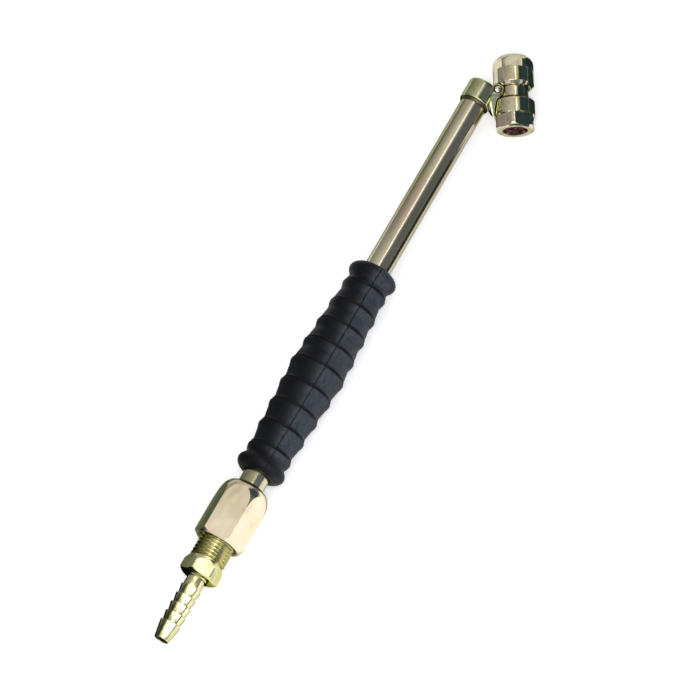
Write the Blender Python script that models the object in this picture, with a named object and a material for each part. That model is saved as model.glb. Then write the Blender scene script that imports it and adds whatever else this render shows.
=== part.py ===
"""Dual-foot tyre inflator handpiece, as an assembly of separate pieces.

From the hose end: a barbed hose tail with a spanner collar and a pipe thread, a long hexagon
coupling, a plated tube in a ribbed rubber grip, and a socket that carries a double-ended head.
Each foot of the head is a screwed cap over a gasket, a valve disc, a core depressor and a spring.

Metres, +Z up. The handpiece is built in its own frame: +X runs along the tube from the hose
tail's tip towards the head, the head lies to -Y, and +Z is square to the plane of tube and head.
The empty "handpiece" then lays it on the floor.
"""

import math

import bmesh
import bpy
from mathutils import Matrix, Vector

# Clearances
FIT_GAP = 0.0003            # between pieces that touch, screw together or slide
BRAZE_GAP = 0.00025         # round the tube in its two brazed joints
HEAD_GAP = 0.00035          # between the socket and the round outsides of the head
NECK_GAP = 0.00045          # between the head's neck and the corner of the sleeve's end

# Hose tail: five barbs, a plain stem, a hexagon collar and a 1/4 in parallel pipe thread
TAIL_BORE_RADIUS = 0.0019
TAIL_MOUTH_RADIUS = 0.0024
TAIL_MOUTH_DEPTH = 0.0006
TAIL_TIP_RADIUS = 0.00275
FIRST_BARB = 0.0065
BARB_PITCH = 0.0037
BARB_COUNT = 5
BARB_RADIUS = 0.0039
BARB_ROOT_RADIUS = 0.0032
BARB_STEP = 0.0004
STEM_RADIUS = 0.00335
STEM_LENGTH = 0.0042
COLLAR_FLATS = 0.013
COLLAR_BLANK_RADIUS = 0.00745
COLLAR_LENGTH = 0.0063
COLLAR_BACK_RADIUS = 0.0062
COLLAR_BACK_CHAMFER = 0.0008
COLLAR_FRONT_RADIUS = 0.0064
COLLAR_FRONT_CHAMFER = 0.002
COLLAR_CLOCKING = 34.6      # degrees, a corner, from +Z towards -Y
THREAD_RADIUS = 0.00658
THREAD_PITCH = 0.001337
THREAD_DEPTH = 0.000856
THREAD_RELIEF = 0.0004
THREAD_SHOWN = 0.008
THREAD_ENGAGED = 0.0088

# Coupling: a long hexagon with a turned nose, screwed on the tail and brazed on the tube
COUPLING_FLATS = 0.017
COUPLING_LENGTH = 0.023
COUPLING_CLOCKING = 18.0    # degrees, a corner, from +Z towards -Y
COUPLING_MOUTH_RADIUS = 0.0079
COUPLING_MOUTH_DEPTH = 0.001
COUPLING_FACE_RADIUS = 0.0083
COUPLING_CHAMFER = 0.0013
NOSE_LENGTH = 0.0092
NOSE_REACH = 0.010
NOSE_DEPTH = 0.004
WEB_THICKNESS = 0.0031
WEB_HOLE_RADIUS = 0.0018
WASHER_THICKNESS = 0.0015
WASHER_HOLE_RADIUS = 0.003

# Tube and the braze fillets at its two joints
TUBE_RADIUS = 0.0049
TUBE_WALL = 0.0012
TUBE_LENGTH = 0.184
TUBE_SHOWN = 0.0062         # between the coupling and the grip
FILLET_WIDTH = 0.0006
FILLET_LENGTH = 0.0009
FILLET_EDGE = 0.0001

# Rubber grip: a flange at each end and nine ribs that swell towards the middle
GRIP_FACE_RADIUS = 0.007
FLANGE_RADIUS = 0.0093
FLANGE_CREST = 0.0028
FLANGE_VALLEY = 0.0065
VALLEY_RADIUS = 0.0074
FIRST_RIB = 0.0091
RIB_PITCH = 0.00882
RIB_COUNT = 9
RIB_END_RADIUS = 0.00855
RIB_MIDDLE_RADIUS = 0.0106
RIB_HEIGHT = 0.00105
RIB_RISE = 0.003
RIB_FALL = 0.0018
RIB_SHOULDER = 0.75         # of the rib's height, at the shoulders beside its crest

# Socket: a sleeve over the tube's end and the bridge that carries the head
SLEEVE_RADIUS = 0.0058
SLEEVE_OVERLAP = 0.0048
SLEEVE_LENGTH = 0.0083
SLEEVE_RIM_BEVEL = 0.0003
SLEEVE_ROUNDING = 0.001
CHAMBER_DEPTH = 0.0018
BRIDGE_RADIUS = 0.0023
BRIDGE_BEVEL = 0.0003
BRIDGE_HALF_WIDTH = 0.0043
BRIDGE_SHIFT = 0.0007       # from the head's middle towards the upper foot
BRIDGE_OFFSET = 0.0066      # from the head's axis towards the tube
POINT_RADIUS = 0.0004
POINT_HALF_WIDTH = 0.001
POINT_DROP = 0.0002         # below the sleeve's rim
POINT_OFFSET = 0.002        # outside the sleeve
ROOT_SETBACK = 0.0032       # of the bridge's root inside the sleeve, from the sleeve's end
ROOT_OFFSET = 0.003         # from the tube's axis towards the head
ROOT_RADIUS = 0.0012
PASSAGE_RADIUS = 0.0011
PASSAGE_LENGTH = 0.0105
PLUG_RECESS_RADIUS = 0.0016
PLUG_RECESS_DEPTH = 0.0007
PLUG_HEAD_HEIGHT = 0.0006
PLUG_LENGTH = 0.0022

# Head: a waisted body with a screwed cap at each end
HEAD_ANGLE = 30.0           # degrees between the tube and the head's axis
FOOT_REACH = 0.0142         # from the head's middle to each mouth
NECK_LENGTH = 0.0044
NECK_RADIUS = 0.0053
SPIGOT_RADIUS = 0.0056
SPIGOT_CHAMFER = 0.0003
HEAD_CHAMBER_RADIUS = 0.0039
PARTITION = 0.0032
AIR_HOLE_RADIUS = 0.0013

# Feet, as depths inwards from the mouth
SKIRT_RADIUS = 0.0075
CAP_FLATS = 0.0135
CAP_HEX_LENGTH = 0.0052
CAP_LEDGE = 0.0003
CAP_SHOULDER = 0.0011
UPPER_CLOCKING = 38.0       # degrees, a corner, from +Z towards -Y in each foot's frame
LOWER_CLOCKING = -14.0
MOUTH_RADIUS = 0.0045
MOUTH_CHAMFER = 0.0003
UPPER_FACE_WIDTH = 0.0006   # of the flat ring round each mouth
LOWER_FACE_WIDTH = 0.0015
UPPER_ROUNDING = 0.003      # depth over which the hexagon's outer end is rounded
LOWER_ROUNDING = 0.00115
LIP_DEPTH = 0.0049
GASKET_THICKNESS = 0.0022
GASKET_HOLE_RADIUS = 0.0019
DISC_RADIUS = 0.0034
DISC_THICKNESS = 0.0011
PIN_RADIUS = 0.00105
PIN_TIP_DEPTH = 0.004
PIN_FLANGE_RADIUS = 0.002
PIN_FLANGE = 0.0006
PIN_TAIL_RADIUS = 0.0008
PIN_TRAVEL = 0.0014
SPRING_RADIUS = 0.00275
WIRE_RADIUS = 0.0002
SPRING_TURNS = 3

# Faces round each turned shape
TAIL_SIDES = 24
COUPLING_SIDES = 36
TUBE_SIDES = 36
GRIP_SIDES = 24
HEAD_SIDES = 36
SMALL_SIDES = 20
FILLET_SIDES = 24
WIRE_SIDES = 6
SPRING_STEPS = 10           # to each turn

# Places along the tube that several pieces share
BARBS_END = FIRST_BARB + (BARB_COUNT - 1) * BARB_PITCH + BARB_STEP
COLLAR_START = BARBS_END + STEM_LENGTH
COLLAR_END = COLLAR_START + COLLAR_LENGTH
COUPLING_START = COLLAR_END + THREAD_SHOWN
COUPLING_END = COUPLING_START + COUPLING_LENGTH
TAIL_END = COUPLING_START + THREAD_ENGAGED
WASHER_START = TAIL_END + FIT_GAP
WEB_START = WASHER_START + WASHER_THICKNESS + FIT_GAP
TUBE_SEAT = WEB_START + WEB_THICKNESS
TUBE_START = TUBE_SEAT + FIT_GAP
TUBE_END = TUBE_START + TUBE_LENGTH
TUBE_BORE_RADIUS = TUBE_RADIUS - TUBE_WALL
BRAZED_BORE_RADIUS = TUBE_RADIUS + BRAZE_GAP
FEMALE_RADIUS = THREAD_RADIUS + FIT_GAP
GRIP_START = COUPLING_END + TUBE_SHOWN
GRIP_LENGTH = 2 * FIRST_RIB + (RIB_COUNT - 1) * RIB_PITCH
GRIP_MIDDLE = GRIP_START + GRIP_LENGTH / 2
SLEEVE_START = TUBE_END - SLEEVE_OVERLAP
SLEEVE_END = SLEEVE_START + SLEEVE_LENGTH

# Places along each foot that several pieces share
CAP_LENGTH = FOOT_REACH - NECK_LENGTH / 2
CAP_BORE_RADIUS = SPIGOT_RADIUS + FIT_GAP
GASKET_DEPTH = LIP_DEPTH + FIT_GAP
SPIGOT_DEPTH = GASKET_DEPTH + GASKET_THICKNESS + FIT_GAP
DISC_DEPTH = SPIGOT_DEPTH
FLANGE_DEPTH = DISC_DEPTH + DISC_THICKNESS + FIT_GAP
PARTITION_DEPTH = FOOT_REACH - PARTITION / 2
PIN_END_DEPTH = PARTITION_DEPTH - PIN_TRAVEL - FIT_GAP

# The head stands clear of the sleeve: its lower skirt beside it, its neck beyond the sleeve's end
TILT = math.radians(HEAD_ANGLE)
SKIRT_CORNER = (NECK_LENGTH / 2 + CAP_SHOULDER) * math.sin(TILT) - SKIRT_RADIUS * math.cos(TILT)
HEAD_Y = SKIRT_CORNER - SLEEVE_RADIUS - HEAD_GAP
NECK_REACH = NECK_RADIUS + NECK_GAP
HEAD_X = SLEEVE_END + (NECK_REACH + (SLEEVE_RADIUS + HEAD_Y) * math.cos(TILT)) / math.sin(TILT)

# What the handpiece lies on, and how many steps its upward direction is worked out in
SUPPORTS = ("inlet_coupling", "rubber_grip", "lower_foot_cap")
LEVELLING_STEPS = 40

ZINC = (0.62, 0.56, 0.38, 1.0)
DARK_ZINC = (0.45, 0.43, 0.22, 1.0)
RUBBER = (0.018, 0.020, 0.027, 1.0)
SEAL = (0.03, 0.03, 0.03, 1.0)
BRASS = (0.60, 0.45, 0.18, 1.0)
STEEL = (0.55, 0.55, 0.55, 1.0)
METAL = 1.0
PLAIN = 0.0


# ---------------------------------------------------------------- helpers

def clear_scene():
    """Remove whatever the file opened with."""
    for thing in list(bpy.data.objects):
        bpy.data.objects.remove(thing, do_unlink=True)


def finish_for(name, colour, metallic, roughness):
    """A plain material for one piece."""
    material = bpy.data.materials.new(name)
    material.use_nodes = True
    shader = material.node_tree.nodes["Principled BSDF"]
    shader.inputs["Base Color"].default_value = colour
    shader.inputs["Metallic"].default_value = metallic
    shader.inputs["Roughness"].default_value = roughness
    return material


def add_object(name, mesh, parent):
    """Turn a bmesh into an object under its parent empty, facing out and shaded smooth."""
    bmesh.ops.recalc_face_normals(mesh, faces=mesh.faces)
    data = bpy.data.meshes.new(name)
    mesh.to_mesh(data)
    mesh.free()
    data.shade_smooth()
    data.set_sharp_from_angle(angle=math.radians(30))
    thing = bpy.data.objects.new(name, data)
    bpy.context.collection.objects.link(thing)
    thing.parent = parent
    return thing


def add_empty(name, parent, location=(0, 0, 0), rotation=(0, 0, 0)):
    """An empty that carries pieces in a frame of their own."""
    empty = bpy.data.objects.new(name, None)
    bpy.context.collection.objects.link(empty)
    empty.parent = parent
    empty.location = location
    empty.rotation_euler = rotation
    return empty


def make_guide(thing):
    """Mark a shape that only cuts or joins another."""
    thing.hide_render = True
    thing.display_type = "WIRE"
    return thing


def combine(target, tool, operation):
    """Cut a guide out of a piece, or join it on."""
    step = target.modifiers.new(tool.name, "BOOLEAN")
    step.operation = operation
    step.solver = "EXACT"
    step.object = tool


def hexagon(flats, clocking):
    """The radius of a hexagon at an angle, from its size across flats and a corner's angle."""
    def radius(angle):
        from_corner = (angle - clocking) % math.radians(60)
        return flats / 2 / math.cos(from_corner - math.radians(30))
    return radius


def turned(name, rings, parent, sides, clocking=0.0, solid=False, leaning=False):
    """A shape turned about X from rings of (x, radius), or of a function of the angle.

    Angles run from +Z towards -Y. A solid shape starts and ends on the axis; any other closes
    its last ring on its first. Leaning splits each face from its near to its far corner.
    """
    mesh = bmesh.new()
    loops = [ring_points(mesh, ring, sides, clocking) for ring in rings]
    following = loops[1:] if solid else loops[1:] + loops[:1]
    for near, far in zip(loops, following):
        for here in range(sides):
            beside = (here + 1) % sides
            corners = [near[here], near[beside], far[beside], far[here]]
            if leaning:
                mesh.faces.new(corners[:3])
                mesh.faces.new([corners[0], corners[2], corners[3]])
            else:
                mesh.faces.new(list(dict.fromkeys(corners)))
    return add_object(name, mesh, parent)


def ring_points(mesh, ring, sides, clocking):
    """The vertices of one ring, or one vertex repeated where the ring is on the axis."""
    if not callable(ring) and ring[1] == 0:
        return [mesh.verts.new((ring[0], 0, 0))] * sides
    points = []
    for step in range(sides):
        angle = clocking + 2 * math.pi * step / sides
        x, radius = ring(angle) if callable(ring) else ring
        points.append(mesh.verts.new((x, -radius * math.sin(angle), radius * math.cos(angle))))
    return points


# ---------------------------------------------------------------- hose end

def thread_ring(index, start):
    """One ring of a helical thread with two rings, a crest and a root, to each turn."""
    def point(angle):
        turn = (angle / (2 * math.pi)) % 1.0
        half_turns = int(2 * turn + 1e-6)
        is_crest = (index - half_turns) % 2 == 0
        x = start + THREAD_PITCH * (index / 2 + turn - half_turns / 2)
        return x, THREAD_RADIUS if is_crest else THREAD_RADIUS - THREAD_DEPTH
    return point


def collar_rings(hexagon_radius):
    """Hexagon collar with a turned chamfer at both ends, so that its edges are scalloped."""
    def limited(angle):
        return min(hexagon_radius(angle), COLLAR_BLANK_RADIUS)

    def back(angle):
        rise = (limited(angle) - COLLAR_BACK_RADIUS) / (COLLAR_BLANK_RADIUS - COLLAR_BACK_RADIUS)
        return COLLAR_START + COLLAR_BACK_CHAMFER * max(rise, 0.05), limited(angle)

    def front(angle):
        rise = (limited(angle) - COLLAR_FRONT_RADIUS) / (COLLAR_BLANK_RADIUS - COLLAR_FRONT_RADIUS)
        return COLLAR_END - COLLAR_FRONT_CHAMFER * max(rise, 0.05), limited(angle)

    return [(COLLAR_START, COLLAR_BACK_RADIUS), back, front, (COLLAR_END, COLLAR_FRONT_RADIUS)]


def build_hose_barb(parent):
    """Hose tail, collar and thread in one turned piece, bored right through."""
    root = THREAD_RADIUS - THREAD_DEPTH
    rings = [(0, TAIL_MOUTH_RADIUS), (0, TAIL_TIP_RADIUS)]
    for barb in range(BARB_COUNT):
        crest = FIRST_BARB + barb * BARB_PITCH
        rings += [(crest, BARB_RADIUS), (crest + BARB_STEP, BARB_ROOT_RADIUS)]
    rings[-1] = (BARBS_END, STEM_RADIUS)
    rings.append((COLLAR_START, STEM_RADIUS))
    rings += collar_rings(hexagon(COLLAR_FLATS, math.radians(COLLAR_CLOCKING)))
    rings += [(COLLAR_END, root), (COLLAR_END + THREAD_RELIEF, root)]
    thread_start = COLLAR_END + THREAD_RELIEF + FIT_GAP
    room = TAIL_END - thread_start - THREAD_RELIEF - THREAD_PITCH / 2
    rings += [thread_ring(index, thread_start) for index in range(int(2 * room / THREAD_PITCH) + 1)]
    rings += [(TAIL_END, root), (TAIL_END, TAIL_BORE_RADIUS), (TAIL_MOUTH_DEPTH, TAIL_BORE_RADIUS)]
    barb = turned("hose_barb", rings, parent, TAIL_SIDES, math.radians(COLLAR_CLOCKING), leaning=True)
    barb.data.materials.append(finish_for("tail_zinc", DARK_ZINC, METAL, 0.3))


def build_washer(parent):
    """Seal that the tail's end is screwed against."""
    outside = FEMALE_RADIUS - FIT_GAP
    end = WASHER_START + WASHER_THICKNESS
    rings = [(WASHER_START, WASHER_HOLE_RADIUS), (WASHER_START, outside),
             (end, outside), (end, WASHER_HOLE_RADIUS)]
    washer = turned("barb_seal_washer", rings, parent, SMALL_SIDES)
    washer.data.materials.append(finish_for("washer_fibre", SEAL, PLAIN, 0.7))


def nose_radius(x):
    """Radius of the coupling's turned nose at a place along the tube."""
    run = min((x - (COUPLING_END - NOSE_LENGTH)) / NOSE_REACH, 1.0)
    corner = COUPLING_FLATS / 2 / math.cos(math.radians(30))
    return corner - NOSE_DEPTH * (1 - math.sqrt(1 - run * run))


def nose_meeting(radius):
    """Where the nose has a given radius: the edge between it and the hexagon."""
    corner = COUPLING_FLATS / 2 / math.cos(math.radians(30))
    drop = 1 - (corner - radius) / NOSE_DEPTH
    return COUPLING_END - NOSE_LENGTH + NOSE_REACH * math.sqrt(max(1 - drop * drop, 0))


def build_coupling(parent):
    """Hexagon coupling: threaded mouth, web with an air hole, and a bore for the tube."""
    flats = hexagon(COUPLING_FLATS, math.radians(COUPLING_CLOCKING))
    corner = COUPLING_FLATS / 2 / math.cos(math.radians(30))

    def mouth_edge(angle):
        rise = (flats(angle) - COUPLING_FACE_RADIUS) / (corner - COUPLING_FACE_RADIUS)
        return COUPLING_START + COUPLING_CHAMFER * max(rise, 0.05), flats(angle)

    def nose(share):
        def point(angle):
            first = nose_meeting(flats(angle))
            x = first + (COUPLING_END - first) * share
            return x, nose_radius(x)
        return point

    rings = [(COUPLING_START, COUPLING_MOUTH_RADIUS), (COUPLING_START, COUPLING_FACE_RADIUS)]
    rings += [mouth_edge, lambda angle: (nose_meeting(flats(angle)), flats(angle))]
    rings += [nose(share) for share in (0.35, 0.65, 0.85, 1.0)]
    rings += [(COUPLING_END, BRAZED_BORE_RADIUS), (TUBE_SEAT, BRAZED_BORE_RADIUS),
              (TUBE_SEAT, WEB_HOLE_RADIUS), (WEB_START, WEB_HOLE_RADIUS),
              (WEB_START, FEMALE_RADIUS), (COUPLING_START + COUPLING_MOUTH_DEPTH, FEMALE_RADIUS)]
    coupling = turned("inlet_coupling", rings, parent, COUPLING_SIDES,
                      math.radians(COUPLING_CLOCKING))
    coupling.data.materials.append(finish_for("coupling_zinc", ZINC, METAL, 0.28))


# ---------------------------------------------------------------- tube and grip

def build_tube(parent):
    """Plated steel tube from the coupling to the socket."""
    rings = [(TUBE_START, TUBE_BORE_RADIUS), (TUBE_START, TUBE_RADIUS),
             (TUBE_END, TUBE_RADIUS), (TUBE_END, TUBE_BORE_RADIUS)]
    tube = turned("main_tube", rings, parent, TUBE_SIDES)
    tube.data.materials.append(finish_for("tube_zinc", ZINC, METAL, 0.22))


def build_fillet(name, face, direction, parent):
    """Braze fillet round the tube, against a joint's face and tapering along the tube."""
    inner = BRAZED_BORE_RADIUS
    near = face + direction * BRAZE_GAP
    far = near + direction * FILLET_LENGTH
    middle = near + direction * FILLET_LENGTH * 0.4
    rings = [(near, inner), (near, inner + FILLET_WIDTH),
             (middle, inner + FILLET_WIDTH * 0.45), (far, inner + FILLET_EDGE), (far, inner)]
    fillet = turned(name, rings, parent, FILLET_SIDES)
    fillet.data.materials.append(finish_for(name + "_brass", BRASS, METAL, 0.4))


def rib_radius(rib):
    """Crest radius of a rib: the ribs swell evenly towards the middle one."""
    from_middle = abs(rib - (RIB_COUNT - 1) / 2) / ((RIB_COUNT - 1) / 2)
    return RIB_MIDDLE_RADIUS + (RIB_END_RADIUS - RIB_MIDDLE_RADIUS) * from_middle


def grip_rings():
    """Outside of the grip, from its hose end to its head end."""
    end = GRIP_START + GRIP_LENGTH
    rings = [(GRIP_START, GRIP_FACE_RADIUS),
             (GRIP_START + FLANGE_CREST * 0.4, (GRIP_FACE_RADIUS + 2 * FLANGE_RADIUS) / 3),
             (GRIP_START + FLANGE_CREST, FLANGE_RADIUS),
             (GRIP_START + FLANGE_CREST * 1.5, FLANGE_RADIUS - RIB_HEIGHT / 3),
             (GRIP_START + FLANGE_VALLEY - FIT_GAP, VALLEY_RADIUS)]
    for rib in range(RIB_COUNT):
        crest = GRIP_START + FIRST_RIB + rib * RIB_PITCH
        top = rib_radius(rib)
        base = top - RIB_HEIGHT
        shoulder = base + RIB_HEIGHT * RIB_SHOULDER
        if rib > 0:
            rings.append((crest - RIB_RISE, base))
        rings += [(crest - RIB_RISE * 0.4, shoulder), (crest, top),
                  (crest + RIB_FALL * 0.5, shoulder), (crest + RIB_FALL, base)]
    rings += [(end - FLANGE_VALLEY + FIT_GAP, VALLEY_RADIUS),
              (end - FLANGE_CREST * 1.5, FLANGE_RADIUS - RIB_HEIGHT / 3),
              (end - FLANGE_CREST, FLANGE_RADIUS),
              (end - FLANGE_CREST * 0.4, (GRIP_FACE_RADIUS + 2 * FLANGE_RADIUS) / 3),
              (end, GRIP_FACE_RADIUS)]
    return rings


def build_grip(parent):
    """Moulded rubber grip, bored to slide over the tube."""
    bore = TUBE_RADIUS + FIT_GAP
    rings = grip_rings() + [(GRIP_START + GRIP_LENGTH, bore), (GRIP_START, bore)]
    grip = turned("rubber_grip", rings, parent, GRIP_SIDES)
    grip.data.materials.append(finish_for("grip_rubber", RUBBER, PLAIN, 0.55))


# ---------------------------------------------------------------- socket

def head_place(along, across):
    """A place in the head's frame, as a place in the handpiece's frame."""
    turn = Matrix.Rotation(TILT, 3, "Z")
    return Vector((HEAD_X, HEAD_Y, 0)) + turn @ Vector((along, across, 0))


def build_bridge(parent):
    """Web from the sleeve to the head: the hull of a round boss, a point and a root in the sleeve."""
    mesh = bmesh.new()
    boss = head_place(BRIDGE_SHIFT, BRIDGE_OFFSET)
    point = Vector((SLEEVE_START - POINT_DROP, -SLEEVE_RADIUS - POINT_OFFSET, 0))
    root = Vector((SLEEVE_END - ROOT_SETBACK, -ROOT_OFFSET, 0))
    edges = [(boss, BRIDGE_RADIUS, BRIDGE_HALF_WIDTH - BRIDGE_BEVEL),
             (boss, BRIDGE_RADIUS - BRIDGE_BEVEL, BRIDGE_HALF_WIDTH),
             (root, ROOT_RADIUS, BRIDGE_HALF_WIDTH),
             (point, POINT_RADIUS, POINT_HALF_WIDTH)]
    for centre, radius, half_width in edges:
        for step in range(SMALL_SIDES):
            angle = 2 * math.pi * step / SMALL_SIDES
            reach = Vector((radius * math.cos(angle), radius * math.sin(angle), 0))
            for side in (-1, 1):
                mesh.verts.new(centre + reach + Vector((0, 0, side * half_width)))
    hull = bmesh.ops.convex_hull(mesh, input=mesh.verts)
    spare = [item for item in hull["geom_interior"] if isinstance(item, bmesh.types.BMVert)]
    bmesh.ops.delete(mesh, geom=spare, context="VERTS")
    return make_guide(add_object("bridge_guide", mesh, parent))


def build_socket_bore(parent):
    """Cutter for the tube's bore and the air chamber beyond it."""
    seat = TUBE_END + FIT_GAP
    outside = SLEEVE_START - SLEEVE_LENGTH / 4
    rings = [(outside, 0), (outside, BRAZED_BORE_RADIUS), (seat, BRAZED_BORE_RADIUS),
             (seat, TUBE_BORE_RADIUS), (seat + CHAMBER_DEPTH, TUBE_BORE_RADIUS),
             (seat + CHAMBER_DEPTH, 0)]
    return make_guide(turned("socket_bore_cutter", rings, parent, TUBE_SIDES, solid=True))


def build_head_clearance(head):
    """Cutter that keeps the socket clear of the neck and of both skirts."""
    wall = NECK_LENGTH / 2 - HEAD_GAP
    slant = HEAD_GAP * math.sqrt(2)
    inner = SKIRT_RADIUS - CAP_SHOULDER - HEAD_GAP + slant
    outer = SKIRT_RADIUS + HEAD_GAP
    bevel_end = NECK_LENGTH / 2 + CAP_SHOULDER + HEAD_GAP - slant
    side = [(wall, NECK_RADIUS + FIT_GAP), (wall, inner), (bevel_end, outer),
            (FOOT_REACH, outer), (FOOT_REACH, 0)]
    rings = [(-x, radius) for x, radius in reversed(side)] + side
    return make_guide(turned("head_clearance_cutter", rings, head, HEAD_SIDES, solid=True))


def build_passage(head):
    """Cutter for the air passage from the head's middle to the socket's chamber."""
    rings = [(0, 0), (0, PASSAGE_RADIUS), (PASSAGE_LENGTH, PASSAGE_RADIUS), (PASSAGE_LENGTH, 0)]
    cutter = turned("air_passage_cutter", rings, head, SMALL_SIDES, solid=True)
    cutter.rotation_euler = (0, 0, math.radians(90))
    return make_guide(cutter)


def build_plug_drill(port):
    """Cutter for the cross drilling and the recess that its plug sits in."""
    above = -PLUG_RECESS_DEPTH
    bottom = BRIDGE_HALF_WIDTH + PASSAGE_RADIUS / 3
    rings = [(above, 0), (above, PLUG_RECESS_RADIUS), (PLUG_RECESS_DEPTH, PLUG_RECESS_RADIUS),
             (PLUG_RECESS_DEPTH, PASSAGE_RADIUS), (bottom, PASSAGE_RADIUS), (bottom, 0)]
    return make_guide(turned("plug_drill_cutter", rings, port, SMALL_SIDES, solid=True))


def build_socket(parent, head, port, passage):
    """Sleeve and bridge in one piece, with the tube's bore, air passage and plug hole."""
    round_off = SLEEVE_ROUNDING * (1 - math.sqrt(0.5))
    rings = [(SLEEVE_START, 0), (SLEEVE_START, SLEEVE_RADIUS - SLEEVE_RIM_BEVEL),
             (SLEEVE_START + SLEEVE_RIM_BEVEL, SLEEVE_RADIUS),
             (SLEEVE_END - SLEEVE_ROUNDING, SLEEVE_RADIUS),
             (SLEEVE_END - round_off, SLEEVE_RADIUS - round_off),
             (SLEEVE_END, SLEEVE_RADIUS - SLEEVE_ROUNDING), (SLEEVE_END, 0)]
    socket = turned("tube_socket", rings, parent, TUBE_SIDES, solid=True)
    combine(socket, build_bridge(parent), "UNION")
    combine(socket, build_socket_bore(parent), "DIFFERENCE")
    combine(socket, build_head_clearance(head), "DIFFERENCE")
    combine(socket, passage, "DIFFERENCE")
    combine(socket, build_plug_drill(port), "DIFFERENCE")
    socket.data.materials.append(finish_for("socket_zinc", ZINC, METAL, 0.3))


def build_plug(port):
    """Domed plug that shuts the cross drilling."""
    seat = PLUG_RECESS_DEPTH - FIT_GAP
    head = PLUG_RECESS_RADIUS - FIT_GAP
    shank = PASSAGE_RADIUS - FIT_GAP
    end = seat + PLUG_LENGTH
    rings = [(seat - PLUG_HEAD_HEIGHT, 0), (seat - PLUG_HEAD_HEIGHT * 0.8, head * 0.55),
             (seat - PLUG_HEAD_HEIGHT * 0.35, head * 0.9), (seat - PLUG_HEAD_HEIGHT * 0.1, head),
             (seat, head), (seat, shank), (end, shank), (end, 0)]
    plug = turned("passage_plug", rings, port, SMALL_SIDES, solid=True)
    plug.data.materials.append(finish_for("plug_zinc", ZINC, METAL, 0.25))


# ---------------------------------------------------------------- head

def build_head_body(head, passage):
    """Waisted body: a spigot and a chamber at each end, joined by an air hole."""
    end = FOOT_REACH - SPIGOT_DEPTH
    neck = NECK_LENGTH / 2 + FIT_GAP
    wall = PARTITION / 2
    outside = [(neck, NECK_RADIUS), (neck, SPIGOT_RADIUS), (end - SPIGOT_CHAMFER, SPIGOT_RADIUS),
               (end, SPIGOT_RADIUS - SPIGOT_CHAMFER)]
    inside = [(end, HEAD_CHAMBER_RADIUS), (wall, HEAD_CHAMBER_RADIUS), (wall, AIR_HOLE_RADIUS)]
    half = outside + inside
    rings = half + [(-x, radius) for x, radius in reversed(half)]
    body = turned("head_body", rings, head, HEAD_SIDES)
    combine(body, passage, "DIFFERENCE")
    body.data.materials.append(finish_for("head_zinc", ZINC, METAL, 0.3))


def build_cap(side, clocking, face_width, rounding, foot):
    """Screwed cap: a hexagon at the mouth, a round skirt, and a lip that holds the gasket."""
    corner = math.radians(clocking)
    flats = hexagon(CAP_FLATS, corner)
    mouth_edge = MOUTH_RADIUS + MOUTH_CHAMFER

    def trimmed(depth, blank):
        return lambda angle: (depth, min(flats(angle), blank))

    def rounded(share):
        fall = (SKIRT_RADIUS - mouth_edge - face_width) * (1 - share) ** 2
        return trimmed(rounding * share, SKIRT_RADIUS - fall)

    rings = [(0, mouth_edge)] + [rounded(share) for share in (0.0, 0.35, 0.7, 1.0)]
    rings += [trimmed(CAP_HEX_LENGTH, SKIRT_RADIUS), (CAP_HEX_LENGTH + CAP_LEDGE, SKIRT_RADIUS),
              (CAP_LENGTH - CAP_SHOULDER, SKIRT_RADIUS), (CAP_LENGTH, SKIRT_RADIUS - CAP_SHOULDER),
              (CAP_LENGTH, CAP_BORE_RADIUS), (LIP_DEPTH, CAP_BORE_RADIUS),
              (LIP_DEPTH, MOUTH_RADIUS), (MOUTH_CHAMFER, MOUTH_RADIUS)]
    cap = turned(side + "_foot_cap", rings, foot, HEAD_SIDES, corner)
    cap.data.materials.append(finish_for(side + "_cap_zinc", ZINC, METAL, 0.28))


def build_gasket(side, foot):
    """Rubber seal between the cap's lip and the body's spigot."""
    outside = CAP_BORE_RADIUS - FIT_GAP
    end = GASKET_DEPTH + GASKET_THICKNESS
    rings = [(GASKET_DEPTH, GASKET_HOLE_RADIUS), (GASKET_DEPTH, outside),
             (end, outside), (end, GASKET_HOLE_RADIUS)]
    gasket = turned(side + "_foot_gasket", rings, foot, SMALL_SIDES)
    gasket.data.materials.append(finish_for(side + "_gasket_rubber", SEAL, PLAIN, 0.6))


def build_disc(side, foot):
    """Valve disc that rests on the gasket until the depressor lifts it."""
    hole = PIN_RADIUS + FIT_GAP
    end = DISC_DEPTH + DISC_THICKNESS
    rings = [(DISC_DEPTH, hole), (DISC_DEPTH, DISC_RADIUS), (end, DISC_RADIUS), (end, hole)]
    disc = turned(side + "_valve_disc", rings, foot, SMALL_SIDES)
    disc.data.materials.append(finish_for(side + "_disc_brass", BRASS, METAL, 0.35))


def build_pin(side, foot):
    """Depressor that opens the tyre valve's core: a domed tip, a flange and a tail."""
    flange_end = FLANGE_DEPTH + PIN_FLANGE
    rings = [(PIN_TIP_DEPTH, 0), (PIN_TIP_DEPTH + PIN_RADIUS * 0.3, PIN_RADIUS * 0.7),
             (PIN_TIP_DEPTH + PIN_RADIUS, PIN_RADIUS), (FLANGE_DEPTH, PIN_RADIUS),
             (FLANGE_DEPTH, PIN_FLANGE_RADIUS), (flange_end, PIN_FLANGE_RADIUS),
             (flange_end, PIN_TAIL_RADIUS), (PIN_END_DEPTH, PIN_TAIL_RADIUS), (PIN_END_DEPTH, 0)]
    pin = turned(side + "_depressor_pin", rings, foot, SMALL_SIDES, solid=True)
    pin.data.materials.append(finish_for(side + "_pin_brass", BRASS, METAL, 0.3))


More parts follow.
